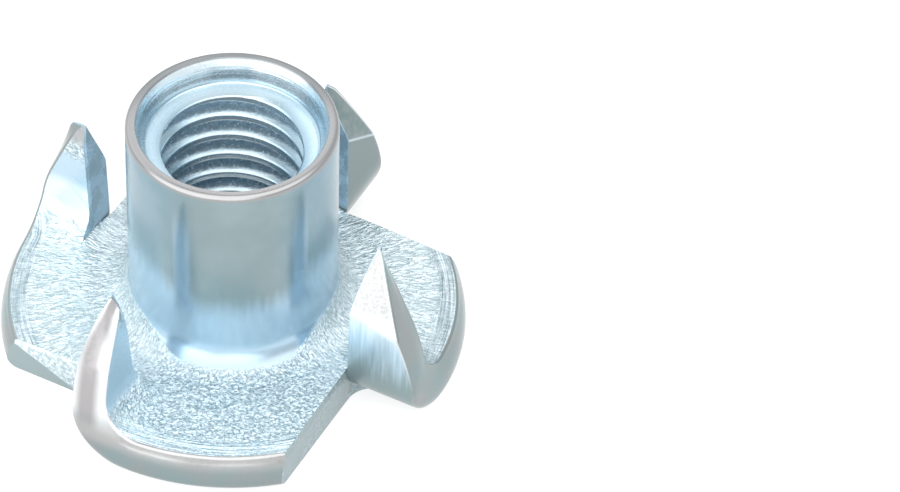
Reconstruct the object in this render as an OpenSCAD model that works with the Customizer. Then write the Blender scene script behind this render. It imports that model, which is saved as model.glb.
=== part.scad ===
// Four-prong tee nut for an M8 x 1.25 screw: a single piece of drawn and stamped steel.
// A threaded barrel is drawn up from a round flange, and four prongs, left joined to the
// flange at one end, are slit free from its rim and bent up beside the barrel.
// The origin is on the barrel's axis in the flange's underside; the barrel points to +Z.
// Lengths are in millimetres and angles in degrees.

/* [Barrel] */
// Outside diameter of the barrel
barrel_d = 10; // [9:0.1:11.5]
// Overall height, from the flange's underside to the barrel's mouth
nut_h = 13.15; // [11:0.05:16]
// Rounding of the barrel's outer top edge
lip_round = 0.25; // [0.2:0.05:0.6]
// Fillet where the barrel grows out of the flange
root_fillet = 1.5; // [0.5:0.1:2]

/* [Bore] */
// Diameter of the bore at the thread's crests
bore_d = 6.65; // [6.4:0.05:6.9]
// Diameter of the barrel's mouth
mouth_d = 9; // [8.7:0.1:9.1]
// Diameter at the foot of the mouth's tapered wall, where its ledge begins
ledge_d = 8.2; // [7.6:0.1:8.5]
// Depth of the ledge's outer edge below the mouth
ledge_depth = 1.25; // [0.6:0.05:1.8]
// Drop of the ledge from its outer edge to the bore
ledge_drop = 0.2; // [0.1:0.05:0.6]
// Widest diameter of the countersink in the flange's underside
sink_d = 9.4; // [7.6:0.1:10.5]
// Depth of the countersink
sink_depth = 1.4; // [0.6:0.1:1.8]

/* [Flange] */
// Widest diameter of the flange
flange_d = 22.4; // [21:0.1:25]
// Thickness of the flange and of the prongs bent from it
flange_t = 2; // [1.8:0.05:2.3]
// Rounding of the rim's lower edge
rim_round = 0.5; // [0.3:0.05:0.7]
// How far the rim's curved side leans in at the top edge
rim_lean = 0.45; // [0.2:0.05:0.7]

/* [Prongs] */
// Distance of the slits from the barrel's axis
slit_u = 7.6; // [7.2:0.05:8.2]
// Clearance between a slit's sheared face and the prong
slit_gap = 0.1; // [0.05:0.05:0.3]
// How far past the barrel's axis plane each bend begins
bend_start = 0.4; // [0:0.1:1]
// Radius at the outside of the bends
bend_r = 2.6; // [2.4:0.1:3.2]
// Radius left in the corner where a slit ends under its bend
notch_r = 1.4; // [0.8:0.1:1.6]
// How far past the bend line that corner lies
notch_back = 0.9; // [0.7:0.05:1.1]
// Height of the prongs' tips above the flange's underside
prong_h = 9.1; // [8:0.05:11]
// Width of the prongs at the tip
tip_w = 0.8; // [0.5:0.05:1.5]
// Length of the long bevel that sharpens a prong's back
bevel_len = 3; // [2:0.1:4]
// Depth of the long bevel at the tip
bevel_depth = 1.35; // [1:0.05:1.5]
// Length of the short bevel that sharpens a prong's front
front_len = 1.4; // [0.8:0.1:2]
// Depth of the short bevel at the tip
front_depth = 0.35; // [0.1:0.05:0.4]
// Inset of each bend, and again of the prong above it, from the flange's rim
bend_inset = 0.04; // [0.03:0.01:0.1]

/* [Forming] */
// Off-centre shift of the slitting tool along X
tool_x = -0.34; // [-0.5:0.01:0.5]
// Off-centre shift of the slitting tool along Y
tool_y = -0.07; // [-0.5:0.01:0.5]
// Turn of the prong pattern about the barrel's axis
pattern_turn = -30; // [-45:1:45]
// Outward fanning of each prong in its own plane
fan_out = [1.5, 0.5, 1, 4];
// Each bend line's distance behind the common start
line_back = [0, 0.2, -0.6, 0.55];

/* [Hidden] */
$fn = 72;
prong_count = 4;
flange_r = flange_d / 2;
barrel_r = barrel_d / 2;
bore_r = bore_d / 2;
lip_r = barrel_r - lip_round;
edge_r = flange_r - rim_lean;
rise = flange_t - rim_round;
side_r = (rise * rise + rim_lean * rim_lean) / (2 * rim_lean);
tab_len = prong_h - bend_r;
reach = 2 * flange_r;
cut_past = 1;
notch_lap = 0.03;
notch_sunk = 0.2;
notch_end = 0.8 * notch_r;

// Section of the flange: x from the axis to the widest radius wide_r, y up from the underside.
// The side is one arc from the rounded lower edge to the crease at the top.
module flange_section(wide_r) {
    intersection() {
        union() {
            square([wide_r - rim_round, flange_t]);
            translate([wide_r - rim_round, rim_round]) circle(rim_round);
            intersection() {
                translate([wide_r - side_r, rim_round]) circle(side_r);
                translate([wide_r - side_r, rim_round]) square([side_r, rise]);
            }
        }
        square([wide_r, flange_t]);
    }
}

// Section of prong k's root: the part of the flange's section outside the slit.
module tab_section(k) {
    intersection() {
        flange_section(tab_at(k));
        translate([inner_at(k), 0]) square([reach, flange_t]);
    }
}

module flange() {
    rotate_extrude() flange_section(flange_r);
}

// Barrel with its rounded mouth and the fillet at its foot, without the bore.
module barrel() {
    rotate_extrude() {
        square([lip_r, nut_h]);
        square([barrel_r, nut_h - lip_round]);
        intersection() {
            translate([lip_r, nut_h - lip_round]) circle(lip_round);
            translate([lip_r, nut_h - lip_round]) square(lip_round);
        }
        difference() {
            square([barrel_r + root_fillet, flange_t + root_fillet]);
            translate([barrel_r + root_fillet, flange_t + root_fillet]) circle(root_fillet);
        }
    }
}

// Space of the bore, its stepped mouth above and its countersink below.
module bore() {
    rotate_extrude()
        polygon([[0, -cut_past], [sink_d / 2, -cut_past], [sink_d / 2, 0], [bore_r, sink_depth],
                 [bore_r, nut_h - ledge_depth - ledge_drop], [ledge_d / 2, nut_h - ledge_depth],
                 [mouth_d / 2, nut_h], [mouth_d / 2, nut_h + cut_past], [0, nut_h + cut_past]]);
}

// Places of slit k and its prong, measured from the axis across the slit, and start of
// the bend, measured along it: the slit, the prong's inner side, the bend line and the rim.
function slit_at(k) = slit_u + tool_x * cos(pattern_turn + 90 * k)
    + tool_y * sin(pattern_turn + 90 * k);
function inner_at(k) = slit_at(k) + slit_gap;
function line_at(k) = bend_start - line_back[k];
function tab_at(k) = sqrt(flange_r * flange_r - line_at(k) * line_at(k)) - bend_inset;

// Blank of prong k past its bend, laid flat with its underside at z = 0 and its length
// along -Y: tapered on the rim side and bevelled on both faces at the tip.
module flat_prong(k) {
    taper = atan((tab_at(k) - inner_at(k) - tip_w) / tab_len);
    difference() {
        intersection() {
            translate([0, -reach, 0]) cube([reach, reach, flange_t]);
            translate([inner_at(k), 0, 0]) rotate([0, 0, fan_out[k]]) intersection() {
                translate([0, -tab_len, 0]) cube([reach, 2 * tab_len, flange_t]);
                translate([tab_at(k) - inner_at(k) - bend_inset, 0, 0]) rotate([0, 0, -taper])
                    translate([-tab_at(k), tab_len, 0]) rotate([90, 0, 0])
                        linear_extrude(reach) flange_section(tab_at(k));
            }
        }
        translate([0, bevel_len - tab_len, 0]) rotate([-atan(bevel_depth / bevel_len), 0, 0])
            translate([0, -reach, -reach]) cube([reach, 2 * reach, reach]);
        translate([0, front_len - tab_len, flange_t]) rotate([atan(front_depth / front_len), 0, 0])
            translate([0, -reach, 0]) cube([reach, 2 * reach, reach]);
    }
}

// Prong k standing on its bend; the bend turns the rim's own section about the bend's axis.
module prong(k) {
    rotate([0, 0, pattern_turn + 90 * k]) translate([0, line_at(k), bend_r]) {
        rotate([0, 90, 180]) rotate_extrude(angle = 90)
            translate([bend_r, 0]) mirror([1, 0]) rotate(-90) tab_section(k);
        rotate([-90, 0, 0]) translate([0, 0, -bend_r]) flat_prong(k);
    }
}

// Room cleared in the flange by slit k and by the prong bent out of it.
module slit_room(k) {
    rotate([0, 0, pattern_turn + 90 * k])
        translate([slit_at(k), line_at(k) - reach, -cut_past])
            cube([reach, reach, flange_t + 2 * cut_past]);
}

// Material left in the corner between slit k's sheared face and the back of its bend. It
// reaches into the flange, and its top lies inside the prong.
module notch(k) {
    rotate([0, 0, pattern_turn + 90 * k])
        translate([slit_at(k), line_at(k) - notch_back, 0]) linear_extrude(flange_t - notch_sunk)
            difference() {
                translate([-notch_sunk, -notch_r]) square([notch_sunk + notch_end, notch_r]);
                translate([notch_r - notch_lap, -notch_r]) circle(notch_r);
            }
}

module tee_nut() {
    color([0.78, 0.82, 0.85])
    difference() {
        union() {
            difference() {
                flange();
                for (k = [0 : prong_count - 1]) slit_room(k);
            }
            barrel();
            for (k = [0 : prong_count - 1]) {
                prong(k);
                notch(k);
            }
        }
        bore();
    }
}

tee_nut();
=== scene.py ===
"""Looks of a four-prong M8 tee nut: a finely formed mesh, zinc materials, camera and light.

The nut is one piece, so one closed mesh stands for its CAD node, inside the same box.
Lengths are millimetres in the mesh code and in the materials, and become metres at the end.

Each prong has a frame of its own, turned to its azimuth: u points away from the barrel,
across the prong, and w along its slit. Laid flat, a prong runs from its bend line towards -w.
"""

import math

import bmesh
import bpy
import numpy as np
from mathutils import Matrix, Vector, geometry


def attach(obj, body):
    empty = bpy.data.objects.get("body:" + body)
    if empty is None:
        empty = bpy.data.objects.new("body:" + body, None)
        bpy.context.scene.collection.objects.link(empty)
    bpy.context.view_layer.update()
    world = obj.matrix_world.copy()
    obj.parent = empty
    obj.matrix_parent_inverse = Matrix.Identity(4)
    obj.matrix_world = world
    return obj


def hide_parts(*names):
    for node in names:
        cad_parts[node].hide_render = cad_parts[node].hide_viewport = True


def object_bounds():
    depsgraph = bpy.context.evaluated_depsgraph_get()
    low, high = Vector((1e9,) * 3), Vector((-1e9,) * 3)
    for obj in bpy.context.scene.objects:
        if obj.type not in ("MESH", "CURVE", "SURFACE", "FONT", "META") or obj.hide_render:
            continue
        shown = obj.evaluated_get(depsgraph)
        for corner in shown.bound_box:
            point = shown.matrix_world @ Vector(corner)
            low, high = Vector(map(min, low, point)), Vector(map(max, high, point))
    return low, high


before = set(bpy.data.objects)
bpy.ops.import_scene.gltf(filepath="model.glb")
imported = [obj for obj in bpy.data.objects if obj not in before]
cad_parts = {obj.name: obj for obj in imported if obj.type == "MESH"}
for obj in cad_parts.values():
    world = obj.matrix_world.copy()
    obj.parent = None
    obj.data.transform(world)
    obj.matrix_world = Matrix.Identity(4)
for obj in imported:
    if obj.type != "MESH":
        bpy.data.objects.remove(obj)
cad_low, cad_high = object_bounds()

MM = 0.001

# ---------------------------------------------------------------- driving sizes, mm
NUT_H = cad_high.z / MM
FLANGE_R = cad_high.x / MM

# Barrel, foot and lip
BARREL_R = 5.0
FOOT_R = 1.5
RING_R = BARREL_R + FOOT_R
LIP_ROUND = 0.28

# Bore: crests and roots of the thread, height of a crest at the back, mouth and countersink
BORE_R = 3.325
ROOT_R = 4.0
PITCH = 1.25
CREST_HEIGHT = 10.33
MOUTH_R = 4.5
LEDGE_R = 4.1
LEDGE_DEPTH = 1.25
LEDGE_DROP = 0.2
SINK_R = 4.7
SINK_DEPTH = 1.4

# Half the crest's width and the width of a flank, as shares of the pitch
CREST_HALF = 0.12
FLANK = 0.3

# Flange: thick by the barrel and a little thinner from DROP_START out to the rim
PLATE_T = 2.12
EDGE_DROP = 0.2
DROP_START = 8.0
RIPPLE = 0.006
RIM_LEAN = 0.45
RIM_ROUND = 0.5
CREASE_ROUND = 0.16

# Sheared faces: rolled over at the top, and a trace of that at the bottom
ROLL_OVER = 0.10
LOWER_ROLL = 0.03

# Bends: radii at the back and in front, length of the flat prong that a bend takes up, and
# the angle and radius at which the front's fillet starts from the flange
BEND_R = 2.6
INNER_R = 0.9
BEND_LEN = 2.72
FLARE = math.radians(28)
FLARE_R = INNER_R / (1 - math.sin(FLARE))

# The fillet sets in over FLARE_SIDE beside a prong, and fades out along its slit: it is
# gone FLARE_END past the bend line, after fading over FLARE_FADE
FLARE_SIDE = 0.8
FLARE_END = 2.8
FLARE_FADE = 1.2

# Corner where a slit ends under its bend: radius, distance past the bend line, how deep it
# is sunk in the flange, how near the bend line it ends, share of its radius kept, overlap
# with the slit's face, and height
NOTCH_R = 1.4
NOTCH_BACK = 0.9
NOTCH_SUNK = 0.15
NOTCH_BEHIND = 0.6
NOTCH_KEPT = 0.8
NOTCH_LAP = 0.03
NOTCH_TOP = PLATE_T - 0.25

# Prongs: depth of the long bevel on the back, length and depth of the short one in front,
# heights from which a prong leans and fans out, and how softly both set in
BEVEL_DEPTH = 1.4
FRONT_LEN = 1.4
FRONT_DEPTH = 0.25
LEAN_FROM = 1.6
FAN_FROM = 2.4
EASE = 0.8

# Prongs' sides: lengths over which the slit side and the rim side narrow to the tip,
# rounding of their edges, and the least width left
NARROWING_LEN = 3.4
TIP_LEN = 0.5
TAB_ROUND = 0.14
LEAST_WIDTH = 0.08

# Rings of a prong's blunt end: share of the last section's size, and rise above it
TIP_RINGS = ((1.0, 0.0), (0.88, 0.06), (0.6, 0.1), (0.3, 0.12), (0.0, 0.125))

# Mesh: columns round the barrel, points across a prong, and the station from which a
# prong's edge has a painted highlight along its crease
COLUMNS = 240
ACROSS = np.linspace(0, 1, 13)
CREASED = 15

# Flange's faces: spacing of their points outwards, angles between those of the upper and of
# the lower face, how far they keep from the outline, and distance at which two become one
OUT_STEP = 0.2
TOP_TURN = 0.022
UNDER_TURN = 0.03
CLEAR_OF_EDGE = 0.07
SAME_POINT = 2e-5

# Height in the countersink below which the thread's rows are level
SINK_SEAM = 0.66

# Each prong as formed: azimuth, slit distance, bend line, lean back, fan out, tip height,
# height of the bevel's start by the slit and its drop across, narrowing at the tip by side.
# "soft" rounds the bevel's start, "taper" is the slope of the drawn-out rim side, and "back"
# and "side" name the materials of its back and its rim side.
KEYS = ("azimuth", "slit", "line", "lean", "fan", "tip", "bevel", "skew", "inner", "outer",
        "soft", "taper", "back", "side")
PRONGS = [dict(zip(KEYS, row)) for row in (
    (-30, 7.36, 0.4, -2.5, 0.5, 9.3, 6.0, 0.3, 0.62, 0.05, 0.04, 0.46, "painted_sheen", "smooth"),
    (60, 7.38, 0.4, -0.5, 0.5, 9.4, 6.8, 0.65, 0.3, 0.15, 0.04, 0.46, "coined", "smooth"),
    (150, 7.86, 0.9, -2.0, 1.0, 9.1, 5.6, 0.0, 0.03, 0.1, 0.08, 0.39, "smooth", "smooth"),
    (240, 7.83, 0.1, 3.0, 4.0, 8.75, 4.4, 0.3, 0.4, 0.2, 0.9, 0.48, "smooth", "edge_highlights"),
)]
REAR_RIGHT, FRONT_LEFT = PRONGS[1], PRONGS[3]


def smooth(x):
    """0 below 0, 1 above 1, with a soft turn between."""
    x = np.clip(x, 0, 1)
    return x * x * (3 - 2 * x)


def eased_past(z, start):
    """How far z is past start, setting in softly."""
    past = np.clip(z - start, 0, None)
    return past * past / (past + EASE)


def to_frame(p, u, w, z):
    """Point of prong p's frame in the part's frame."""
    a = math.radians(p["azimuth"])
    c, s = math.cos(a), math.sin(a)
    return np.stack([u * c - w * s, u * s + w * c, z + 0 * u], -1)


def flat_to_frame(p, uw):
    return to_frame(p, uw[:, 0], uw[:, 1], 0)[:, :2]


class Builder:
    """Collects patches of a mesh that share their edge points, to be welded afterwards."""

    def __init__(self):
        self.points = []
        self.faces = []
        self.slots = []
        self.count = 0

    def add(self, points, faces, slot):
        points = np.asarray(points, float).reshape(-1, 3)
        self.points.append(points)
        self.faces.extend([tuple(int(i) + self.count for i in f) for f in faces])
        self.slots.extend([slot] * len(faces))
        self.count += len(points)

    def grid(self, points, slot, flip=False):
        """points is rows x columns x 3."""
        rows, columns = points.shape[:2]
        i, j = np.meshgrid(np.arange(rows - 1), np.arange(columns - 1), indexing="ij")
        a = (i * columns + j).ravel()
        quads = np.stack([a, a + 1, a + 1 + columns, a + columns], 1)
        if flip:
            quads = quads[:, ::-1]
        self.add(points, quads.tolist(), slot)


# ---------------------------------------------------------------- the flange's section
def top_height(x, y):
    """Height of the flange's upper face: level by the barrel, falling a little to the rim,
    raised into the prongs' fillets and very faintly rippled."""
    r, a = np.hypot(x, y), np.arctan2(y, x)
    fall = EDGE_DROP * np.clip((r - DROP_START) / (FLANGE_R - RIM_LEAN - DROP_START), 0, 1)
    wave = np.sin(5 * a + 1.9 * r) + np.sin(11 * a - 1.3 * r + 1) + np.sin(17 * a + 3.1 * r)
    flare = sum(root_flare(p, x, y) for p in PRONGS)
    return PLATE_T - fall + flare + RIPPLE * wave * smooth((r - RING_R) / 0.8)


def root_flare(p, x, y):
    """Rise of the flange into the fillet on a prong's front, fading past the prong's side."""
    a = math.radians(p["azimuth"])
    u = x * math.cos(a) + y * math.sin(a)
    w = y * math.cos(a) - x * math.sin(a) - p["line"]
    reach = FLARE_R * math.sin(FLARE)
    ahead = np.clip(reach - w, 0, reach)
    rise = FLARE_R - np.sqrt(FLARE_R**2 - ahead**2)
    beside = smooth((u - p["slit"] + FLARE_SIDE) / FLARE_SIDE)
    return rise * beside * smooth((w + FLARE_END) / FLARE_FADE)


def wall_rows(bottom_round):
    """Rows of the rim's side from the underside up: height share and inset from the widest."""
    t = PLATE_T - EDGE_DROP
    rows = []
    for a in np.radians(np.linspace(0, 90, 6)):
        rows.append((bottom_round * (1 - math.cos(a)) / t, bottom_round * (1 - math.sin(a))))
    rise = t - bottom_round
    side = (rise * rise + RIM_LEAN * RIM_LEAN) / (2 * RIM_LEAN)
    for share in np.linspace(0, 1, 8)[1:]:
        h = share * (rise - CREASE_ROUND)
        rows.append(((bottom_round + h) / t, side - math.sqrt(side * side - h * h)))
    last = rows[-1][1]
    for a in np.radians((28, 55, 78, 90)):
        rows.append((1 - CREASE_ROUND * (1 - math.sin(a)) / t,
                     last + CREASE_ROUND * (1 - math.cos(a))))
    return np.array(rows)


RIM_ROWS = wall_rows(RIM_ROUND)


def slit_inset(share):
    """Inset of a sheared face at a share of its height."""
    return ROLL_OVER * smooth((share - 0.9) / 0.1) + LOWER_ROLL * smooth((0.03 - share) / 0.03)


# ---------------------------------------------------------------- prongs
def tab_length(p):
    return BEND_LEN + p["tip"] - BEND_R


def tab_inner(p, s):
    """Slit side of the laid-flat prong at distance s from the bend line."""
    # It stands out by a hair at the bend line, and is drawn in past the bend.
    drawn_in = -0.012 * smooth(s / 0.2) + 0.03 * smooth((s - 2.0) / 1.0)
    narrowed = np.clip((s - tab_length(p) + NARROWING_LEN) / NARROWING_LEN, 0, None) ** 1.6
    return p["slit"] + drawn_in + p["inner"] * narrowed


def tab_outer(p, s):
    """Rim side of the laid-flat prong: the blank's circle, then a straight edge along it."""
    start = p["line"] + FLANGE_R * p["taper"] / math.hypot(1, p["taper"])
    w = p["line"] - np.minimum(s, start)
    circle = np.sqrt(FLANGE_R**2 - w * w)
    edge = circle - p["taper"] * np.clip(s - start, 0, None)
    return edge - p["outer"] * smooth((s - tab_length(p) + TIP_LEN) / TIP_LEN)


def stand_up(p, u, s, share):
    """Bends a point of the laid-flat prong: u across, s along, share through the thickness."""
    line, tip = p["line"], p["tip"]
    u, s, share = np.broadcast_arrays(u, s, share)
    seat = to_frame(p, u, line, 0 * s)
    t = top_height(seat[..., 0], seat[..., 1])
    turn = np.clip(s / BEND_LEN, 0, 1) * math.pi / 2
    past = np.clip(s - BEND_LEN, 0, None)
    # The back follows the outer radius, and the front a fillet that starts at the flare.
    back_w = line - BEND_R * np.sin(turn)
    back_z = BEND_R * (1 - np.cos(turn)) + past
    bent = FLARE + turn * (1 - FLARE / (math.pi / 2))
    front_w = line - FLARE_R * (np.sin(bent) - math.sin(FLARE))
    straight = (tip - t - FLARE_R * math.cos(FLARE)) / (tip - BEND_R)
    front_z = t + FLARE_R * (math.cos(FLARE) - np.cos(bent)) + past * straight
    # Both are bevelled towards the tip.
    start = p["bevel"] - p["skew"] * (u - p["slit"])
    bevel = np.clip((back_z - start) / (tip - start), 0, None)
    soft = p["soft"]
    bevel = (np.hypot(bevel, soft) - soft) / (math.hypot(1, soft) - soft)
    back_w = back_w + BEVEL_DEPTH * bevel
    front = np.clip((front_z - tip + FRONT_LEN) / FRONT_LEN, 0, None)
    front_w = front_w - FRONT_DEPTH * front**1.5
    w = back_w + (front_w - back_w) * share
    z = back_z + (front_z - back_z) * share
    w = w - math.tan(math.radians(p["lean"])) * (eased_past(z, LEAN_FROM) * smooth(s / 1.5))
    u = u + math.tan(math.radians(p["fan"])) * eased_past(z, FAN_FROM)
    return to_frame(p, u, w, z)


def stations(p):
    """Distances from the bend line at which a prong has a section."""
    end = tab_length(p)
    return np.concatenate([
        np.linspace(0, BEND_LEN, 21),
        np.linspace(BEND_LEN, end - TIP_LEN, 44)[1:],
        np.linspace(end - TIP_LEN, end, 6)[1:],
    ])


def tab_rows(s):
    """Rim rows at distance s along a prong: the lower edge's rounding fades to a crease."""
    fade = float(smooth((s - 0.5) / 2.6))
    return wall_rows(RIM_ROUND + (TAB_ROUND - RIM_ROUND) * fade)


def add_prong(mesh, p):
    """Prong p from its bend line to its tip; at the bend line it meets the lobe's edge."""
    bottoms, tops, rims, inners = [], [], [], []
    for s in stations(p):
        shares, insets = tab_rows(s).T
        if s == 0:
            edges = np.sqrt((FLANGE_R - insets) ** 2 - p["line"] ** 2)
        else:
            edges = float(tab_outer(p, s)) - insets
        inside = tab_inner(p, s) + slit_inset(shares) * min(1.0, s / 0.3)
        edges = np.maximum(edges, inside + LEAST_WIDTH)
        low = inside[0] + (edges[0] - inside[0]) * ACROSS
        high = inside[-1] + (edges[-1] - inside[-1]) * ACROSS
        rims.append(stand_up(p, edges, s, shares))
        inners.append(stand_up(p, inside, s, shares))
        bottoms.append(stand_up(p, low, s, shares[0]))
        tops.append(stand_up(p, high, s, shares[-1]))
    rims = np.array(rims)
    mesh.grid(np.array(bottoms), p["back"])
    mesh.grid(np.array(tops), "top", flip=True)
    mesh.grid(rims[:CREASED + 1], p["side"])
    # From station CREASED on, the crease between back and rim side has a painted highlight.
    mesh.grid(rims[CREASED:, :3], "burnished")
    mesh.grid(rims[CREASED:, 2:], p["side"])
    mesh.grid(np.array(inners), "sheared", flip=True)
    section_u = np.concatenate([low, edges[1:-1], high[::-1], inside[1:-1][::-1]])
    section_h = np.concatenate([np.full(len(low), shares[0]), shares[1:-1],
                                np.full(len(high), shares[-1]), shares[1:-1][::-1]])
    add_tip(mesh, p, section_u, section_h, s)


def add_tip(mesh, p, section_u, section_h, s):
    """A blunt rounded end on the prong's last section, at distance s."""
    middle_u, middle_h = section_u.mean(), 0.5
    rings = []
    for shrink, rise in TIP_RINGS:
        u = middle_u + (section_u - middle_u) * shrink
        h = middle_h + (section_h - middle_h) * shrink
        ring = stand_up(p, u, s + 0 * u, h)
        ring[:, 2] += rise
        rings.append(np.vstack([ring, ring[:1]]))
    mesh.grid(np.array(rings), "sheared")


# ---------------------------------------------------------------- flange lobes
def ring_column(angle):
    """The barrel's column nearest to an angle."""
    return int(round(angle / (2 * math.pi / COLUMNS)))


def ring_points(first, last):
    """Points of the foot's outer ring from one column to another."""
    a = np.arange(first, last + 1) * 2 * math.pi / COLUMNS
    return np.stack([RING_R * np.cos(a), RING_R * np.sin(a)], 1)


def lobe_outline(p, q, row):
    """Edge of the lobe from prong p's bend to prong q's slit at one row of its side, in p's
    frame: the arc of the rim, then the cut."""
    share, rim_inset = row
    cut_inset = float(slit_inset(np.array(share)))
    rim = FLANGE_R - rim_inset
    a = np.linspace(math.asin(p["line"] / rim), math.asin((q["slit"] - cut_inset) / rim), 46)
    arc = np.stack([rim * np.cos(a), rim * np.sin(a)], 1)
    corner_u = -q["line"]
    along = np.linspace(0, 1, 44) ** 0.85
    u = arc[-1, 0] + (corner_u - arc[-1, 0]) * along
    # The roll-over runs out towards the corner under the bend.
    left = np.abs(u - corner_u)
    w = q["slit"] - cut_inset * smooth((left - 0.6) / 2.2)
    return arc, np.stack([u, w], 1)[1:]


def add_face(mesh, p, q, row, slot, step, top):
    """Upper or lower face of lobe p, triangulated inside its outline over a lattice of
    rings whose points are step apart, in radians."""
    arc, cut = lobe_outline(p, q, row)
    inner = p["slit"]
    start = inner + (arc[0, 0] - inner) * ACROSS
    bend = np.stack([start, np.full_like(start, p["line"])], 1)
    azimuth = math.radians(p["azimuth"])
    first = ring_column(azimuth + math.atan2(p["line"], inner))
    last = ring_column(azimuth + math.pi / 2 + math.atan2(q["line"], q["slit"]))
    ring = ring_points(first, last)
    corner_p = flat_to_frame(p, bend[:1])[0]
    corner_q = flat_to_frame(p, cut[-1:])[0]
    seam_steps = np.linspace(0, 1, 9)[1:-1, None]
    seam_q = corner_q + (ring[-1] - corner_q) * seam_steps
    seam_p = ring[0] + (corner_p - ring[0]) * seam_steps
    outline = np.vstack([flat_to_frame(p, bend), flat_to_frame(p, arc[1:]),
                         flat_to_frame(p, cut), seam_q, ring[::-1], seam_p])
    radii = np.arange(RING_R + OUT_STEP, FLANGE_R, OUT_STEP)
    angles = np.arange(azimuth, azimuth + math.pi / 2 + 0.2, step)
    lattice = np.array([(r * math.cos(a), r * math.sin(a)) for r in radii for a in angles])
    keep = inside_outline(lattice, outline)
    keep &= edge_distance(lattice, outline) > CLEAR_OF_EDGE
    points = [Vector(v) for v in np.vstack([outline, lattice[keep]])]
    loop = list(range(len(outline)))
    made = geometry.delaunay_2d_cdt(points, [], [loop], 1, SAME_POINT)
    xy = np.array([v[:] for v in made[0]])
    z = np.zeros(len(xy))
    if top:
        z = top_height(xy[:, 0], xy[:, 1])
        z[np.hypot(xy[:, 0], xy[:, 1]) < RING_R + 1e-4] = PLATE_T
    faces = [f if top else f[::-1] for f in made[2]]
    mesh.add(np.column_stack([xy, z]), faces, slot)


def inside_outline(points, outline):
    """Whether each point is inside: an odd number of the outline's edges lies to its right."""
    x, y = points[:, 0], points[:, 1]
    found = np.zeros(len(points), bool)
    ax, ay = outline[:, 0], outline[:, 1]
    bx, by = np.roll(ax, -1), np.roll(ay, -1)
    for i in range(len(outline)):
        crosses = (ay[i] > y) != (by[i] > y)
        at = ax[i] + (y - ay[i]) * (bx[i] - ax[i]) / (by[i] - ay[i] + 1e-300)
        found ^= crosses & (x < at)
    return found


def edge_distance(points, outline):
    """Distance from each point to the nearest edge of the outline."""
    best = np.full(len(points), 1e9)
    following = np.roll(outline, -1, 0)
    for a, b in zip(outline, following):
        d = b - a
        t = np.clip(((points - a) @ d) / max(d @ d, 1e-12), 0, 1)
        best = np.minimum(best, np.hypot(*(points - a - t[:, None] * d).T))
    return best


def add_lobe(mesh, p, q):
    """Flange between prong p's bend and prong q's slit."""
    add_face(mesh, p, q, RIM_ROWS[-1], "top", TOP_TURN, True)
    add_face(mesh, p, q, RIM_ROWS[0], "turned", UNDER_TURN, False)
    arcs, cuts = [], []
    for row in RIM_ROWS:
        arc, cut = lobe_outline(p, q, row)
        for rows, line in ((arcs, arc), (cuts, np.vstack([arc[-1:], cut]))):
            xy = flat_to_frame(p, line)
            z = row[0] * top_height(xy[:, 0], xy[:, 1])
            rows.append(np.column_stack([xy, z]))
    mesh.grid(np.array(arcs), "smooth")
    mesh.grid(np.array(cuts), "sheared")


def add_notch(mesh, p):
    """Corner left between a slit's sheared face and the back of its bend."""
    turn = np.linspace(0, math.pi / 2, 17)
    u = p["slit"] + NOTCH_R * (1 - np.cos(turn)) - NOTCH_LAP
    w = p["line"] - NOTCH_BACK - NOTCH_R * (1 - np.sin(turn))
    keep = u < p["slit"] + NOTCH_KEPT * NOTCH_R
    sunk, behind = p["slit"] - NOTCH_SUNK, p["line"] - NOTCH_BEHIND
    u = np.concatenate([u[keep], [u[keep][-1], sunk, sunk]])
    w = np.concatenate([w[keep], [behind, behind, w[0]]])
    levels = (0.012, 0.04, 0.5, 1.0, 1.5, NOTCH_TOP)
    rings = [to_frame(p, np.append(u, u[0]), np.append(w, w[0]), z) for z in levels]
    mesh.grid(np.array(rings), "sheared", flip=True)
    order = tuple(range(len(u)))
    mesh.add(to_frame(p, u, w, levels[0]), [order], "sheared")
    mesh.add(to_frame(p, u, w, levels[-1]), [order[::-1]], "sheared")


# ---------------------------------------------------------------- barrel and bore
def mouth_profile():
    """Lip, tapered wall with its turned rings, and ledge of the bore's mouth: (r, z) downwards."""
    points = [(BARREL_R - LIP_ROUND, NUT_H), (MOUTH_R + 0.04, NUT_H - 0.01),
              (MOUTH_R, NUT_H - 0.06)]
    for share in np.linspace(0, 1, 40)[1:]:
        depth = 0.06 + (LEDGE_DEPTH - 0.1) * share
        ring = 0.0015 * (math.sin(depth * 31) + math.sin(depth * 47)) * math.sin(math.pi * share)
        narrowed = 1 - (1 - share) ** 2
        points.append((MOUTH_R + (LEDGE_R + 0.02 - MOUTH_R) * narrowed + ring, NUT_H - depth))
    points.append((LEDGE_R - 0.01, NUT_H - LEDGE_DEPTH))
    for share in np.linspace(0, 1, 26)[1:-1]:
        r = LEDGE_R - 0.03 + (BORE_R + 0.05 - LEDGE_R + 0.03) * share
        ring = 0.001 * math.sin(r * 34) * math.sin(math.pi * share)
        points.append((r, NUT_H - LEDGE_DEPTH - 0.02 - (LEDGE_DROP - 0.06) * share + ring))
    points += [(BORE_R + 0.03, NUT_H - LEDGE_DEPTH - LEDGE_DROP + 0.02),
               (BORE_R, NUT_H - LEDGE_DEPTH - LEDGE_DROP - 0.03)]
    return points


def plain_radius(z):
    """Bore wall below the ledge, before the thread is cut: crest radius, then countersink."""
    return np.maximum(BORE_R, SINK_R - z * (SINK_R - BORE_R) / SINK_DEPTH)


def thread_radius(z, a):
    """Radius of the right-handed thread's groove at height z and angle a."""
    turn = (z - CREST_HEIGHT) / PITCH - (a - math.pi / 2) / (2 * math.pi)
    away = 0.5 - np.abs(turn - np.floor(turn) - 0.5)
    flank = np.clip((away - CREST_HALF) / FLANK, 0, 1)
    # A straight flank with a part of a soft one rounds the thread's corners.
    return BORE_R + (ROOT_R - BORE_R) * (0.7 * flank + 0.3 * smooth(flank))


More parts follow.
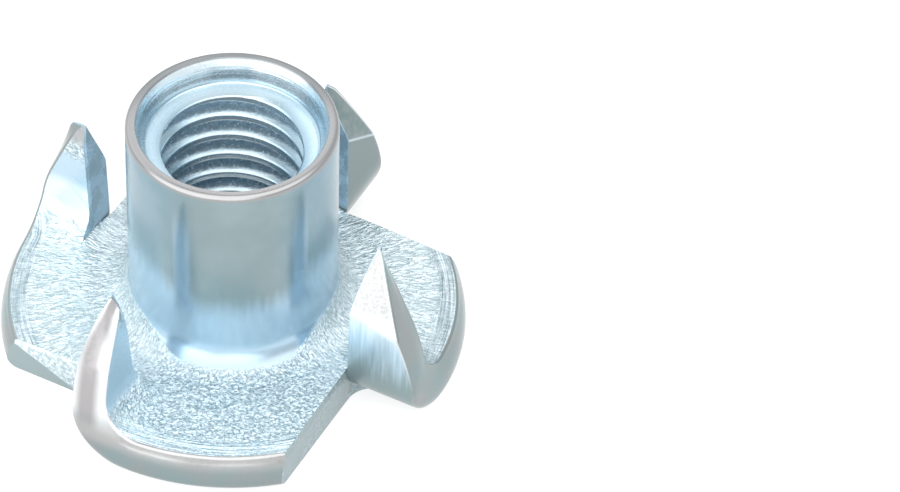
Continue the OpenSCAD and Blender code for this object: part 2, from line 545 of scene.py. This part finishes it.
def around():
    """Angles of the barrel's columns, with the first one again at the end."""
    return np.arange(COLUMNS + 1) * 2 * math.pi / COLUMNS


def turned_row(r, z):
    """Points round the axis; r and z are numbers, or arrays that follow the angle."""
    a = around()
    return np.stack([r * np.cos(a), r * np.sin(a), z + 0 * a], 1)


def revolve(profile):
    """Rows of points for a list of (r, z)."""
    return np.array([turned_row(r, z) for r, z in profile])


# Places in a turn of the thread that have a row of points, closer at the corners of the
# crest and the root.
THREAD_STEPS = (0, 0.06, 0.1, 0.135, 0.18, 0.3, 0.39, 0.44, 0.5, 0.56, 0.61, 0.7, 0.82, 0.865,
                0.9, 0.94)


def add_barrel(mesh):
    outer = [(RING_R - FOOT_R * math.sin(a), PLATE_T + FOOT_R * (1 - math.cos(a)))
             for a in np.radians(np.linspace(0, 90, 16))]
    outer += [(BARREL_R, z) for z in np.linspace(PLATE_T + FOOT_R, NUT_H - LIP_ROUND, 14)[1:]]
    outer += [(BARREL_R - LIP_ROUND * (1 - math.cos(a)), NUT_H - LIP_ROUND * (1 - math.sin(a)))
              for a in np.radians(np.linspace(0, 90, 9))[1:]]
    mesh.grid(revolve(outer), "top")
    a = around()
    profile = mouth_profile()
    mouth = [turned_row(np.maximum(r, thread_radius(z, a)) if r < ROOT_R else r, z)
             for r, z in profile]
    mesh.grid(np.array(mouth), "bore")
    # The rows climb with the thread, and are held level where they meet the mouth and the sink.
    high = profile[-1][1]
    rows = []
    for turn in range(int((high - SINK_SEAM) / PITCH) + 3):
        for step in THREAD_STEPS:
            z = CREST_HEIGHT + PITCH * (2 - turn - step + (a - math.pi / 2) / (2 * math.pi))
            z = np.clip(z, SINK_SEAM, high)
            rows.append(turned_row(np.maximum(plain_radius(z), thread_radius(z, a)), z))
    mesh.grid(np.array(rows), "bore")
    sink = [turned_row(np.maximum(plain_radius(z), thread_radius(z, a)), z)
            for z in np.linspace(SINK_SEAM, 0.03, 6)]
    sink += [turned_row(SINK_R + 0.01, 0.0)]
    mesh.grid(np.array(sink), "bore")
    mesh.grid(revolve([(r, 0.0) for r in np.linspace(SINK_R + 0.01, RING_R, 8)]), "turned")


# ---------------------------------------------------------------- materials
class Net:
    """Short calls for building a tree of nodes."""

    def __init__(self, tree):
        self.nodes, self.links = tree.nodes, tree.links

    def put(self, socket, value):
        """Links or sets a socket; None leaves it as it is."""
        if isinstance(value, bpy.types.NodeSocket):
            self.links.new(value, socket)
        elif value is not None:
            socket.default_value = value

    def math(self, operation, *values):
        n = self.nodes.new("ShaderNodeMath")
        n.operation = operation
        for socket, value in zip(n.inputs, values):
            self.put(socket, value)
        return n.outputs[0]

    def chain(self, operation, values):
        """The operation on the first two values, then on what it gives and the next one."""
        result = values[0]
        for value in values[1:]:
            result = self.math(operation, result, value)
        return result

    def add(self, *values):
        return self.chain("ADD", values)

    def subtract(self, *values):
        return self.chain("SUBTRACT", values)

    def multiply(self, *values):
        return self.chain("MULTIPLY", values)

    def rest(self, share):
        return self.subtract(1.0, share)

    def ramp(self, value, low, high, to_low=0.0, to_high=1.0):
        """Smooth change from to_low to to_high as the value goes from low to high."""
        n = self.nodes.new("ShaderNodeMapRange")
        n.interpolation_type = "SMOOTHSTEP"
        for socket, v in zip(n.inputs, (value, low, high, to_low, to_high)):
            self.put(socket, v)
        return n.outputs[0]


class Surface(Net):
    """A material, its nodes and its shader; coordinates are in millimetres."""

    def __init__(self, name):
        self.material = bpy.data.materials.new(name)
        self.material.use_nodes = True
        super().__init__(self.material.node_tree)
        self.shader = next(n for n in self.nodes if n.type == "BSDF_PRINCIPLED")

    def vector(self, operation, a, b=None):
        n = self.nodes.new("ShaderNodeVectorMath")
        n.operation = operation
        self.put(n.inputs[0], a)
        self.put(n.inputs["Scale"] if operation == "SCALE" else n.inputs[1], b)
        return n.outputs["Value"] if operation == "LENGTH" else n.outputs[0]

    def split(self, vector):
        n = self.nodes.new("ShaderNodeSeparateXYZ")
        self.put(n.inputs[0], vector)
        return n.outputs

    def join(self, x, y, z):
        n = self.nodes.new("ShaderNodeCombineXYZ")
        for socket, value in zip(n.inputs, (x, y, z)):
            self.put(socket, value)
        return n.outputs[0]

    def blend(self, share, a, b):
        """Colour a where the share is 0 and colour b where it is 1."""
        n = self.nodes.new("ShaderNodeMix")
        n.data_type = "RGBA"
        self.put(n.inputs["Factor"], share)
        for socket, value in ((n.inputs[6], a), (n.inputs[7], b)):
            self.put(socket, (*value, 1) if isinstance(value, tuple) else value)
        return n.outputs[2]

    def place(self):
        n = self.nodes.new("ShaderNodeTexCoord")
        return self.vector("SCALE", n.outputs["Object"], 1 / MM)

    def polar(self, place):
        """Distance from the barrel's axis, the unit vector away from it, and the height."""
        x, y, z = self.split(place)
        flat = self.join(x, y, 0.0)
        return self.vector("LENGTH", flat), self.vector("NORMALIZE", flat), z

    def toward(self, azimuth, x, y):
        """How far x and y reach towards an azimuth given in degrees."""
        a = math.radians(azimuth)
        return self.add(self.multiply(x, math.cos(a)), self.multiply(y, math.sin(a)))

    def noise(self, vector, scale, detail, distortion=0.0):
        n = self.nodes.new("ShaderNodeTexNoise")
        self.put(n.inputs["Vector"], vector)
        self.put(n.inputs["Scale"], scale)
        self.put(n.inputs["Detail"], detail)
        self.put(n.inputs["Distortion"], distortion)
        return n.outputs["Fac"]

    def streaks(self, x, y, z, level_scale, upright_scale, detail, distortion=0.0):
        """Noise that is finer one way than the other: its scales in x and y, and in z."""
        place = self.join(self.multiply(x, level_scale), self.multiply(y, level_scale),
                          self.multiply(z, upright_scale))
        return self.noise(place, 1.0, detail, distortion)

    def rings(self, polar, around_size, out_size, distortion=0.0):
        """Noise laid round the axis: its grains measure around_size by out_size, outwards on
        the flat faces and along the height on the upright ones."""
        r, way, z = polar
        x, y, _ = self.split(way)
        return self.streaks(x, y, self.subtract(r, z), GRAIN_MEAN_R / around_size,
                            1 / out_size, 2.0, distortion)

    def uneven(self, place, low, high, scale=5.0):
        """A roughness that wanders between low and high."""
        return self.ramp(self.noise(place, scale, 3.0), 0.3, 0.7, low, high)

    def finish(self, color, roughness, height=None, depth=0.0, metallic=0.8):
        self.put(self.shader.inputs["Metallic"], metallic)
        self.put(self.shader.inputs["Base Color"], color)
        self.put(self.shader.inputs["Roughness"], roughness)
        if height is not None:
            n = self.nodes.new("ShaderNodeBump")
            n.inputs["Distance"].default_value = depth * MM
            self.put(n.inputs["Height"], height)
            self.put(self.shader.inputs["Normal"], n.outputs[0])
        return self.material


# Tones of the zinc, as linear red, green and blue.
# Barrel, foot and lip; on the barrel the blue, the sides' tone and the streaks are painted
# reflection and shade
GREY_ZINC = (0.255, 0.335, 0.35)
SIDE_ZINC = (0.225, 0.345, 0.405)
BLUE_ZINC = (0.41, 0.57, 0.69)
PAINTED_STREAK_ZINC = (0.46, 0.62, 0.72)
FOOT_ZINC = (0.30, 0.365, 0.39)
LIP_ZINC = (0.35, 0.34, 0.34)
LIP_DARK = (0.20, 0.205, 0.21)
# Bore
MOUTH_ZINC = (0.46, 0.56, 0.61)
MOUTH_SIDE = (0.32, 0.45, 0.53)
THREAD_ZINC = (0.56, 0.74, 0.85)
# Flange's grain, with painted shade in its grooves and a painted highlight on its ridges
GROOVE_ZINC = (0.26, 0.36, 0.41)
GROOVE_PALE = (0.42, 0.53, 0.57)
RIDGE_ZINC = (0.80, 0.91, 0.95)
# Rim and the backs of the prongs
TEAL_ZINC = (0.24, 0.315, 0.325)
WARM_ZINC = (0.275, 0.305, 0.31)
RIM_ZINC = (0.40, 0.40, 0.40)
COINED_ZINC = (0.15, 0.215, 0.22)
STRIP_MIDDLE_ZINC = (0.40, 0.39, 0.395)
EDGE_HIGHLIGHT_ZINC = (0.84, 0.86, 0.87)
# Fronts of the prongs, and bright tones, some of them painted highlights
DRAWN_ZINC = (0.50, 0.67, 0.79)
PAINTED_HIGHLIGHT_ZINC = (0.84, 0.94, 0.98)
PALE_ZINC = (0.58, 0.68, 0.73)
WHITE_ZINC = (0.62, 0.65, 0.65)
# Sheared faces: on the flange, on the prongs and where they are torn
SLIT_ZINC = (0.31, 0.385, 0.40)
SHEAR_ZINC = (0.50, 0.67, 0.80)
SHEAR_PALE = (0.62, 0.76, 0.84)

# Radius at which the grains of rings() have the size asked for, and how much of the
# flange's grain gives way to turned rings at the rim
GRAIN_MEAN_R = 8.0
RIM_TURNED = 0.6

# Paler streaks down the barrel, painted light over the dark reflections of the front prongs:
# azimuths in degrees, and the cosines of the angles from them at which a streak sets in and
# is full
STREAKS = (-119, -51)
STREAK_EDGE = math.cos(math.radians(6.5))
STREAK_CORE = 0.9994

# Torn part of the cut face by the front left prong: the line under it leaves the
# underside this far along the face, and climbs by this slope
TORN_FROM = 4.0
TORN_SLOPE = 0.46


def flange_relief(net, polar, even, sideways, rim):
    """The flange's grain: drawn out at the sides, even in front and behind, turned by the rim."""
    drawn_out = net.rings(polar, 0.15, 0.5, 1.0)
    turned = net.rings(polar, 2.2, 0.1, 0.4)
    relief = net.add(net.multiply(drawn_out, sideways), net.multiply(even, net.rest(sideways)))
    relief = net.add(net.multiply(relief, net.rest(net.multiply(rim, RIM_TURNED))),
                     net.multiply(turned, rim, RIM_TURNED))
    return net.ramp(relief, 0.27, 0.73)


def barrel_tone(net, place, x, y, z, drawn):
    """Grey above and blue below a ragged edge, which lies higher at the sides. The blue is a
    painted reflection of the flange, and the sides are painted darker and bluer as shade. x and y
    are those of the unit vector away from the axis."""
    aside = net.math("ABSOLUTE", x)
    # Painted shade: the barrel's left and right sides are darker and bluer.
    upper = net.blend(net.ramp(aside, 0.3, 0.85), GREY_ZINC, SIDE_ZINC)
    edge = net.subtract(z, net.ramp(aside, 0.3, 0.85, 0.0, 1.1))
    edge = net.add(edge, net.multiply(drawn, 1.2))
    # Painted reflection: the flange's blue on the barrel's lower part.
    tone = net.blend(net.ramp(edge, 5.6, 7.4), BLUE_ZINC, upper)
    tone = net.blend(net.ramp(z, PLATE_T + 0.1, PLATE_T + 1.0), FOOT_ZINC, tone)
    patches = net.ramp(net.noise(place, 0.35, 3.0), 0.35, 0.65, 0.0, 0.12)
    tone = net.blend(patches, tone, PALE_ZINC)
    # Painted light: paler streaks over the front prongs' dark reflections on the barrel.
    for azimuth in STREAKS:
        streak = net.ramp(net.toward(azimuth, x, y), STREAK_EDGE, STREAK_CORE, 0.0, 0.6)
        tone = net.blend(net.multiply(streak, net.ramp(z, 9.5, 12.0, 1.0, 0.0)), tone, PAINTED_STREAK_ZINC)
    return tone


def front_tone(net, place, y, z, even, relief):
    """Fronts of the prongs: blue, with a painted highlight low on the rear ones, specked and grey
    at the tips, and paler on the grain's ridges as a painted highlight.
    """
    # Painted highlight low on the rear prongs' fronts.
    low_rear = net.multiply(net.ramp(z, 4.6, 5.6, 1.0, 0.0), net.ramp(y, -0.5, -0.2))
    tone = net.blend(low_rear, DRAWN_ZINC, PAINTED_HIGHLIGHT_ZINC)
    specks = net.blend(net.ramp(even, 0.4, 0.6), GREY_ZINC, RIDGE_ZINC)
    ragged = net.add(z, net.multiply(net.noise(place, 3.0, 4.0), 1.6))
    tone = net.blend(net.multiply(net.ramp(ragged, 7.5, 8.1), 0.8), tone, specks)
    tone = net.blend(net.ramp(z, 7.6, 8.4), tone, RIM_ZINC)
    # Painted highlight: paler where the grain's relief is high.
    return net.blend(net.multiply(relief, 0.3), tone, PALE_ZINC)


def lip_tone(net, y):
    """The lip is darker towards the back; y is that of the unit vector away from the axis."""
    return net.blend(net.ramp(y, 0.0, 0.7), LIP_ZINC, LIP_DARK)


def top_zinc():
    """Barrel, foot, flange top and prong fronts: smooth above, grained on the flange."""
    net = Surface("zinc_top")
    place = net.place()
    polar = net.polar(place)
    r, way, z = polar
    x, y, _ = net.split(way)
    sideways = net.ramp(net.math("ABSOLUTE", x), 0.45, 0.9)
    rim = net.ramp(r, 9.5, 10.1)
    even = net.noise(place, 6.4, 3.0, distortion=0.6)
    drawn = net.streaks(x, y, z, 18.0, 0.3, 2.0)
    relief = flange_relief(net, polar, even, sideways, rim)
    # The grain ends on the fillets, and climbs the barrel's foot further at the sides.
    climb = net.subtract(z, net.multiply(net.ramp(r, 6.6, 7.1), 0.55),
                         net.multiply(sideways, net.ramp(r, 6.5, 7.0, 0.9, 0.0)))
    grained = net.ramp(climb, PLATE_T + 0.08, PLATE_T + 0.4, 1.0, 0.0)
    on_prong = net.multiply(net.ramp(r, 6.6, 7.0), net.ramp(z, PLATE_T + 0.4, PLATE_T + 1.0))
    height = net.add(net.multiply(relief, grained), net.multiply(relief, on_prong, 0.3),
                     net.multiply(drawn, 0.02))
    tone = net.blend(on_prong, barrel_tone(net, place, x, y, z, drawn),
                     front_tone(net, place, y, z, even, relief))
    # The flange's tone follows its relief: painted shade in the grooves, paler at the sides, and a
    # painted highlight on the ridges.
    flange = net.blend(net.multiply(sideways, net.rest(rim)), GROOVE_ZINC, GROOVE_PALE)
    flange = net.blend(relief, flange, RIDGE_ZINC)
    tone = net.blend(net.multiply(grained, 0.95), tone, flange)
    tone = net.blend(net.ramp(z, NUT_H - 0.38, NUT_H - 0.2, 0.0, 0.9), tone, lip_tone(net, y))
    rough = net.add(net.uneven(place, 0.2, 0.25, 6.0), net.multiply(grained, 0.06))
    return net.finish(tone, rough, height, 0.07)


def painted_sheen_zinc():
    """Back of the front right prong: brushed along its height, with a painted reflection that
    pales it upwards to white where it is bevelled.
    """
    net = Surface("zinc_painted_sheen")
    place = net.place()
    x, y, z = net.split(place)
    brushed = net.streaks(x, y, z, 6.0, 0.4, 3.0)
    ragged = net.add(z, net.multiply(brushed, 2.4))
    # Painted reflection: teal low, paler higher up, and white on the bevel.
    tone = net.blend(net.ramp(ragged, 3.4, 6.2), TEAL_ZINC, DRAWN_ZINC)
    tone = net.blend(net.ramp(ragged, 5.4, 7.4), tone, PAINTED_HIGHLIGHT_ZINC)
    fine = net.ramp(net.noise(place, 7.0, 4.0), 0.35, 0.65, 0.1, 0.75)
    tone = net.blend(net.ramp(z, 6.0, 6.4), tone, net.blend(fine, WHITE_ZINC, RIM_ZINC))
    rough = net.ramp(z, 5.6, 6.4, 0.3, 0.36)
    return net.finish(tone, rough, brushed, 0.004, 0.7)


def rim_tone(net, place):
    """Patchy grey, with a painted highlight along the upper part of the rim in front."""
    _, y, z = net.split(place)
    tone = net.blend(net.ramp(net.noise(place, 0.4, 3.0), 0.35, 0.65), TEAL_ZINC, WARM_ZINC)
    upper = net.multiply(net.ramp(z, 1.0, 1.7), net.ramp(z, 2.0, 2.6, 1.0, 0.0))
    in_front = net.ramp(y, -9.0, -6.0, 1.0, 0.0)
    # Painted highlight on the rim's upper part, in front only.
    return net.blend(net.multiply(upper, in_front), tone, RIM_ZINC)


def side_zinc():
    """Rim, prong sides and the rear left prong's back: smooth, faintly marked upwards."""
    net = Surface("zinc_side")
    place = net.place()
    brushed = net.streaks(*net.split(place), 7.0, 0.35, 3.0)
    return net.finish(rim_tone(net, place), net.uneven(place, 0.14, 0.24), brushed, 0.003)


def coined_zinc():
    """Back of the rear right prong: darker, with a painted highlight along the line where its
    bevel starts.
    """
    net = Surface("zinc_coined")
    place = net.place()
    x, y, z = net.split(place)
    p = REAR_RIGHT
    # Height above the bevel's start, which drops across the prong.
    across = net.toward(p["azimuth"], x, y)
    above = net.add(net.subtract(z, p["bevel"] + p["skew"] * p["slit"]),
                    net.multiply(across, p["skew"]))
    mottled = net.ramp(net.noise(place, 2.2, 4.0), 0.35, 0.65, 0.0, 0.5)
    upper = net.blend(mottled, COINED_ZINC, WARM_ZINC)
    tone = net.blend(net.ramp(above, 0.0, 0.2), COINED_ZINC, upper)
    # Painted highlight along the crease where the bevel starts.
    crease = net.multiply(net.ramp(above, -0.1, 0.0), net.ramp(above, 0.04, 0.16, 0.7, 0.0))
    tone = net.blend(crease, tone, PALE_ZINC)
    tone = net.blend(net.ramp(z, 1.6, 3.4), rim_tone(net, place), tone)
    return net.finish(tone, 0.2)


def edge_highlights_zinc():
    """Rim side of the front left prong: painted highlights along both edges, and duller between
    them.
    """
    net = Surface("zinc_edge_highlights")
    place = net.place()
    x, y, z = net.split(place)
    along = net.toward(FRONT_LEFT["azimuth"] + 90, x, y)
    # The side's middle and half its width follow the prong as it leans and thins.
    thinned = net.ramp(z, 5.2, 8.9)
    middle = net.add(-1.6, net.subtract(net.multiply(thinned, 0.68), net.multiply(z, 0.052)))
    half = net.subtract(0.85, net.multiply(thinned, 0.6))
    off_middle = net.math("DIVIDE", net.math("ABSOLUTE", net.subtract(along, middle)), half)
    # Painted highlights along both edges, with the plain tone between them.
    tone = net.blend(net.ramp(off_middle, 0.25, 0.95), STRIP_MIDDLE_ZINC, EDGE_HIGHLIGHT_ZINC)
    tone = net.blend(net.ramp(z, 1.6, 3.2), rim_tone(net, place), tone)
    return net.finish(tone, net.uneven(place, 0.14, 0.24))


def crease_highlight_zinc():
    """Painted highlight: a thin bright crease along a prong's edge."""
    net = Surface("zinc_crease_highlight")
    place = net.place()
    z = net.split(place)[2]
    tone = net.blend(net.ramp(net.noise(place, 2.0, 2.0), 0.3, 0.7), PALE_ZINC, WHITE_ZINC)
    tone = net.blend(net.ramp(z, 2.2, 4.6), rim_tone(net, place), tone)
    return net.finish(tone, 0.25)


def torn_face(net, x, y, z):
    """The flange's cut face by the front left prong, and the part of it that is torn."""
    across = net.toward(FRONT_LEFT["azimuth"], x, y)
    along = net.toward(FRONT_LEFT["azimuth"] + 90, x, y)
    off_face = net.math("ABSOLUTE", net.subtract(across, FRONT_LEFT["slit"]))
    on_face = net.multiply(net.ramp(off_face, 0.2, 0.3, 1.0, 0.0),
                           net.ramp(z, PLATE_T, PLATE_T + 0.2, 1.0, 0.0),
                           net.ramp(along, -0.3, 0.0, 1.0, 0.0))
    above = net.add(z, net.multiply(net.add(along, TORN_FROM), TORN_SLOPE))
    return on_face, net.multiply(on_face, net.ramp(above, 0.0, 0.15))


def sheared_zinc():
    """Faces left by the slitting tool: burnished in one part and torn in the other."""
    net = Surface("zinc_sheared")
    place = net.place()
    x, y, z = net.split(place)
    on_face, wedge = torn_face(net, x, y, z)
    torn = net.ramp(net.noise(place, 0.7, 4.0), 0.38, 0.62)
    torn = net.math("MAXIMUM", wedge, net.multiply(torn, net.rest(on_face)))
    scored = net.streaks(x, y, z, 9.0, 0.8, 2.0)
    grain = net.ramp(net.noise(place, 5.0, 3.0, distortion=0.6), 0.35, 0.65)
    height = net.add(net.multiply(scored, 0.12), net.multiply(grain, net.multiply(torn, 0.4)))
    tone = net.blend(net.ramp(z, PLATE_T, PLATE_T + 0.6), SLIT_ZINC, SHEAR_ZINC)
    tone = net.blend(net.multiply(grain, torn, 0.35), tone, SHEAR_PALE)
    # Painted highlight: the torn wedge is paler where its grain is raised.
    tone = net.blend(wedge, tone, net.blend(grain, GROOVE_PALE, RIDGE_ZINC))
    # The rear prongs' cut faces are mottled, and painted darker as shade.
    rear = net.multiply(net.ramp(y, 0.0, 2.0), net.ramp(z, PLATE_T, PLATE_T + 0.6, 0.0, 0.8))
    tone = net.blend(rear, tone, net.blend(torn, GROOVE_ZINC, BLUE_ZINC))
    return net.finish(tone, net.ramp(torn, 0.0, 1.0, 0.22, 0.34), height, 0.05, 0.5)


def turned_zinc():
    """Underside: flat, with fine rings left by the tool round the countersink."""
    net = Surface("zinc_turned")
    place = net.place()
    ring = net.rings(net.polar(place), 6.0, 0.14)
    patches = net.ramp(net.noise(place, 0.4, 3.0), 0.3, 0.7, 0.3, 0.6)
    tone = net.blend(patches, GREY_ZINC, PALE_ZINC)
    return net.finish(tone, net.uneven(place, 0.2, 0.3), ring, 0.012)


def bore_zinc():
    """Mouth, thread and countersink: bluish, with painted light in the thread's grooves, painted
    shade at the mouth's sides and a painted highlight on its far wall.
    """
    net = Surface("zinc_bore")
    place = net.place()
    r, way, z = net.polar(place)
    x, y, _ = net.split(way)
    aside = net.math("ABSOLUTE", x)
    # Painted shade: the mouth is darker at its left and right sides.
    mouth = net.blend(net.ramp(aside, 0.35, 0.85), MOUTH_ZINC, MOUTH_SIDE)
    # A painted highlight brightens the mouth's far wall on both sides of its middle, down to the
    # ledge.
    beside = net.multiply(net.ramp(aside, 0.16, 0.34), net.ramp(aside, 0.7, 0.95, 1.0, 0.0),
                          net.ramp(y, 0.0, 0.3, 0.0, 0.75),
                          net.ramp(z, NUT_H - 1.2, NUT_H - 1.05))
    mouth = net.blend(beside, mouth, PAINTED_HIGHLIGHT_ZINC)
    # Painted light: the thread's grooves are paler than its crests.
    groove = net.multiply(net.ramp(r, BORE_R, ROOT_R),
                          net.ramp(z, NUT_H - 1.4, NUT_H - 1.2, 1.0, 0.0))
    tone = net.blend(groove, mouth, THREAD_ZINC)
    tone = net.blend(net.ramp(z, NUT_H - 0.12, NUT_H - 0.04, 0.0, 0.9), tone, lip_tone(net, y))
    drag = net.streaks(x, y, z, 4.0, 9.0, 3.0)
    return net.finish(tone, net.uneven(place, 0.16, 0.28), drag, 0.008, 0.75)


MATERIALS = {
    "top": top_zinc(),
    "smooth": side_zinc(),
    "painted_sheen": painted_sheen_zinc(),
    "coined": coined_zinc(),
    "edge_highlights": edge_highlights_zinc(),
    # The prongs' creases, with their painted highlight.
    "burnished": crease_highlight_zinc(),
    "sheared": sheared_zinc(),
    "turned": turned_zinc(),
    "bore": bore_zinc(),
}


# ---------------------------------------------------------------- the nut
# Metres within which points are one, and length below which an edge is dropped
WELD_DIST = 1e-7
SHORT_EDGE = 1e-8
SHARP_ANGLE = math.radians(32)


def make_nut():
    build = Builder()
    add_barrel(build)
    for k, p in enumerate(PRONGS):
        q = PRONGS[(k + 1) % len(PRONGS)]
        add_lobe(build, p, q)
        add_prong(build, p)
        add_notch(build, p)
    data = bpy.data.meshes.new("tee_nut_formed")
    points = np.vstack(build.points) * MM
    data.from_pydata(points.tolist(), [], build.faces)
    names = list(MATERIALS)
    for name in names:
        data.materials.append(MATERIALS[name])
    data.polygons.foreach_set("material_index", [names.index(s) for s in build.slots])
    nut = bpy.data.objects.new("tee_nut_formed", data)
    bpy.context.scene.collection.objects.link(nut)
    weld(nut)
    return nut


def weld(nut):
    """Joins the patches into one closed, smooth-shaded surface with sharp edges."""
    bm = bmesh.new()
    bm.from_mesh(nut.data)
    bmesh.ops.remove_doubles(bm, verts=bm.verts, dist=WELD_DIST)
    bmesh.ops.dissolve_degenerate(bm, dist=SHORT_EDGE, edges=bm.edges)
    bmesh.ops.recalc_face_normals(bm, faces=bm.faces)
    open_edges = sum(1 for e in bm.edges if len(e.link_faces) != 2)
    print("nut faces", len(bm.faces), "open or doubled edges", open_edges)
    for f in bm.faces:
        f.smooth = True
    bm.to_mesh(nut.data)
    bm.free()
    nut.data.set_sharp_from_angle(angle=SHARP_ANGLE)


nut = make_nut()
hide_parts("tee_nut")
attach(nut, "root")


# ---------------------------------------------------------------- stage, light, camera
# Floor: half its side and its drop below the nut, both in metres, and how bright it looks
FLOOR_HALF = 3.0
FLOOR_LOW = -0.01 * MM
FLOOR_GLOW = 0.75


def make_stage():
    """A matt floor that glows to the camera and in reflections, without lighting the nut."""
    data = bpy.data.meshes.new("floor")
    corners = [(x * FLOOR_HALF, y * FLOOR_HALF, FLOOR_LOW)
               for x, y in ((-1, -1), (1, -1), (1, 1), (-1, 1))]
    data.from_pydata(corners, [], [(0, 1, 2, 3)])
    floor = bpy.data.objects.new("floor", data)
    bpy.context.scene.collection.objects.link(floor)
    net = Surface("floor_white")
    net.put(net.shader.inputs["Base Color"], (0.3, 0.3, 0.3, 1))
    net.put(net.shader.inputs["Roughness"], 0.9)
    net.put(net.shader.inputs["Specular IOR Level"], 0.0)
    path = net.nodes.new("ShaderNodeLightPath").outputs
    seen = net.math("MAXIMUM", path["Is Camera Ray"], path["Is Glossy Ray"])
    seen = net.math("MAXIMUM", seen, path["Is Transmission Ray"])
    net.put(net.shader.inputs["Emission Color"], (1, 1, 1, 1))
    net.put(net.shader.inputs["Emission Strength"], net.multiply(seen, FLOOR_GLOW))
    data.materials.append(net.material)


# Bright parts of the studio round the nut: azimuth, elevation, half angles of the full and
# the fading part, all in degrees, and the level added to the sky's.
SKY_LEVEL = 0.85
PANELS = (
    (-140, 28, 30, 42, 1.9),
    (-85, 62, 20, 34, 1.7),
    (-90, 26, 14, 30, 1.8),
    (-30, 55, 18, 36, 1.5),
    (95, 36, 14, 40, 0.6),
    (140, 36, 14, 34, 0.7),
)


def make_world():
    """A plain pale studio with soft bright panels, painted by direction."""
    world = bpy.data.worlds.new("studio")
    bpy.context.scene.world = world
    world.use_nodes = True
    net = Net(world.node_tree)
    way = net.nodes.new("ShaderNodeTexCoord").outputs["Generated"]
    level = SKY_LEVEL
    for azimuth, elevation, full, fading, added in PANELS:
        a, e = math.radians(azimuth), math.radians(elevation)
        middle = (math.cos(e) * math.cos(a), math.cos(e) * math.sin(a), math.sin(e))
        near = net.nodes.new("ShaderNodeVectorMath")
        near.operation = "DOT_PRODUCT"
        net.put(near.inputs[0], way)
        net.put(near.inputs[1], middle)
        lit = net.ramp(near.outputs["Value"], math.cos(math.radians(fading)),
                       math.cos(math.radians(full)), SKY_LEVEL, SKY_LEVEL + added)
        level = net.math("MAXIMUM", level, lit)
    net.put(net.nodes["Background"].inputs["Strength"], level)
    net.put(net.nodes["Background"].inputs["Color"], (0.99, 0.995, 1.0, 1))


def make_camera():
    """The fitted camera: it looks down at the nut from the -Y side and a little right of it."""
    # Angles in radians, lengths in millimetres, and the photo's scale and frame in pixels.
    tilt, roll = 0.7901, 0.009
    shift_x, shift_y, depth = 0.0919, -2.4357, 236.09
    focal_px, centre_px, frame_px = 4877.97, (232, 270), (900, 492)
    ce, se = math.cos(tilt), math.sin(tilt)
    turn = Matrix(((1, 0, 0), (0, se, ce), (0, -ce, se)))
    cr, sr = math.cos(roll), math.sin(roll)
    turn = Matrix(((cr, -sr, 0), (sr, cr, 0), (0, 0, 1))) @ turn
    place = turn.transposed() @ Vector((-shift_x, -shift_y, depth))
    # The frame's middle lies right of and above the fitted axis, so the camera turns to it.
    ray = Vector((frame_px[0] / 2 - centre_px[0], centre_px[1] - frame_px[1] / 2, -focal_px))
    aim = (turn.transposed() @ ray).normalized()
    up = turn.transposed() @ Vector((0, 1, 0))
    z_axis = -aim
    x_axis = up.cross(z_axis).normalized()
    y_axis = z_axis.cross(x_axis)
    data = bpy.data.cameras.new("camera")
    data.sensor_width = 36
    data.lens = focal_px / frame_px[0] * data.sensor_width
    camera = bpy.data.objects.new("camera", data)
    bpy.context.scene.collection.objects.link(camera)
    rotation = Matrix((x_axis, y_axis, z_axis)).transposed().to_4x4()
    camera.matrix_world = Matrix.Translation(place * MM) @ rotation
    data.clip_start, data.clip_end = 0.01, 10
    bpy.context.scene.camera = camera


make_stage()
make_world()
make_camera()
bpy.context.scene.view_settings.view_transform = "Standard"
